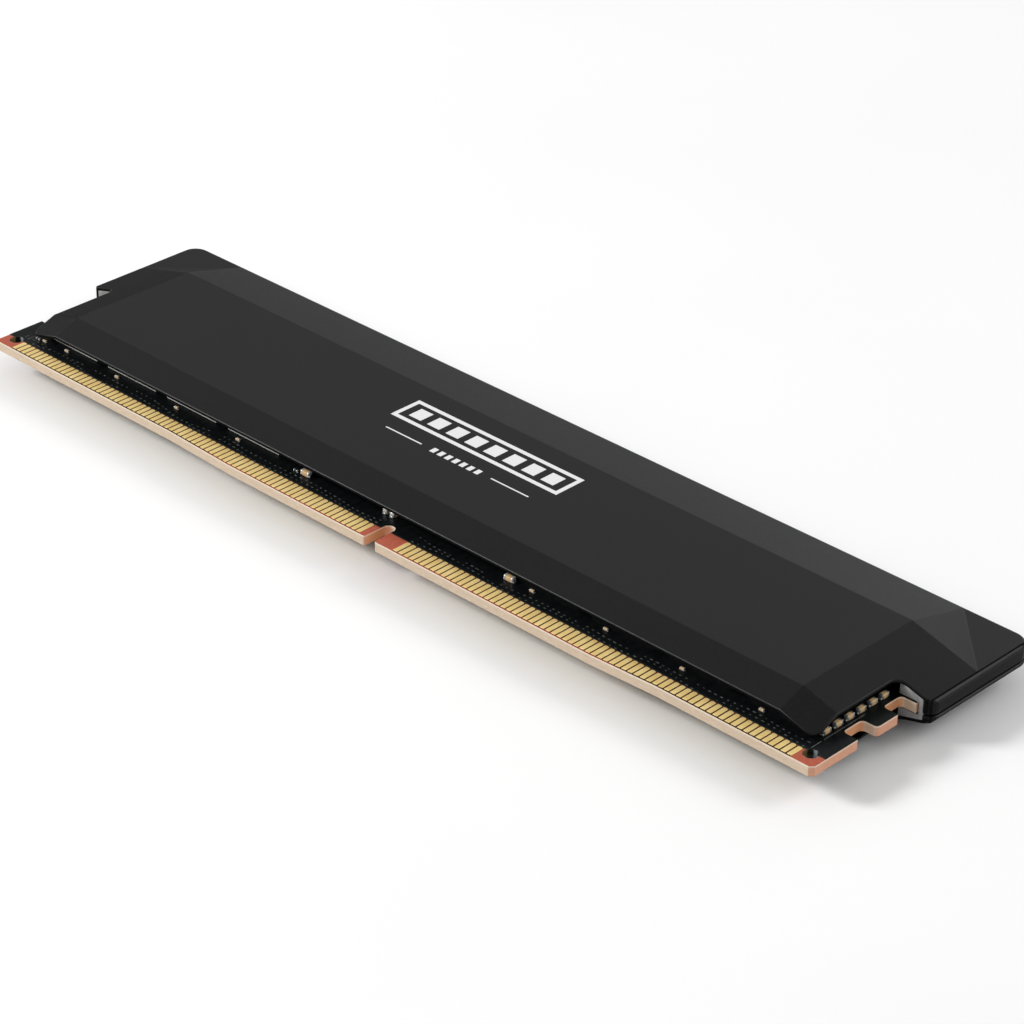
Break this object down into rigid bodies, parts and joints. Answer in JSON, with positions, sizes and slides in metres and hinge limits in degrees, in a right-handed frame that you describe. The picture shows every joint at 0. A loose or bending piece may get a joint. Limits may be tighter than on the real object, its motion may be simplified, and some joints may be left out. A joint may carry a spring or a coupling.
{
  "type": "ram module",
  "caption": "Slim circuit board with a gold contact edge, held between two black faceted heat spreader shells that leave the edge and its notches clear.",
  "frame": {"origin": "middle of the module's outline, on the plane that the back heat spreader rests on", "axes": "+X along the board, +Y from the contact edge towards the top edge, +Z out of the front face; the module lies on its back"},
  "size_m": [0.1372, 0.0356, 0.0079],
  "materials": {
    "board_laminate": "satin fibreglass laminate",
    "solder_mask": "satin black solder mask",
    "gold_plating": "polished gold plate",
    "spreader_coating": "fine matte black coating on aluminium",
    "chip_package": "matte black moulding compound",
    "capacitor_ceramic": "satin tan ceramic with tinned ends",
    "resistor_coat": "glossy black coat with tinned ends",
    "inductor_body": "matte dark grey pressed ferrite",
    "thermal_pad": "soft matte light grey",
    "gasket_foam": "soft matte light grey",
    "emblem_print": "matte white print"
  },
  "bodies": {
    "root": {"circuit_board": "board_laminate", "front_solder_mask": "solder_mask", "back_solder_mask": "solder_mask", "front_contacts": "gold_plating", "back_contacts": "gold_plating", "front_heat_spreader": "spreader_coating", "back_heat_spreader": "spreader_coating", "power_controller": "chip_package", "profile_hub": "chip_package", "edge_capacitors": "capacitor_ceramic", "bulk_capacitors": "capacitor_ceramic", "middle_capacitors": "capacitor_ceramic", "power_capacitors": "capacitor_ceramic", "side_capacitors": "capacitor_ceramic", "chip_capacitors": "capacitor_ceramic", "back_capacitors": "capacitor_ceramic", "edge_resistors": "resistor_coat", "front_left_thermal_pad": "thermal_pad", "front_right_thermal_pad": "thermal_pad", "back_left_thermal_pad": "thermal_pad", "back_right_thermal_pad": "thermal_pad", "controller_thermal_pad": "thermal_pad", "left_end_gasket": "gasket_foam", "right_end_gasket": "gasket_foam", "front_emblem": "emblem_print", "memory_chip_1": "chip_package", "memory_chip_2": "chip_package", "memory_chip_3": "chip_package", "memory_chip_4": "chip_package", "memory_chip_5": "chip_package", "memory_chip_6": "chip_package", "memory_chip_7": "chip_package", "memory_chip_8": "chip_package", "power_inductor_1": "inductor_body", "power_inductor_2": "inductor_body", "power_inductor_3": "inductor_body"}
  },
  "joints": []
}
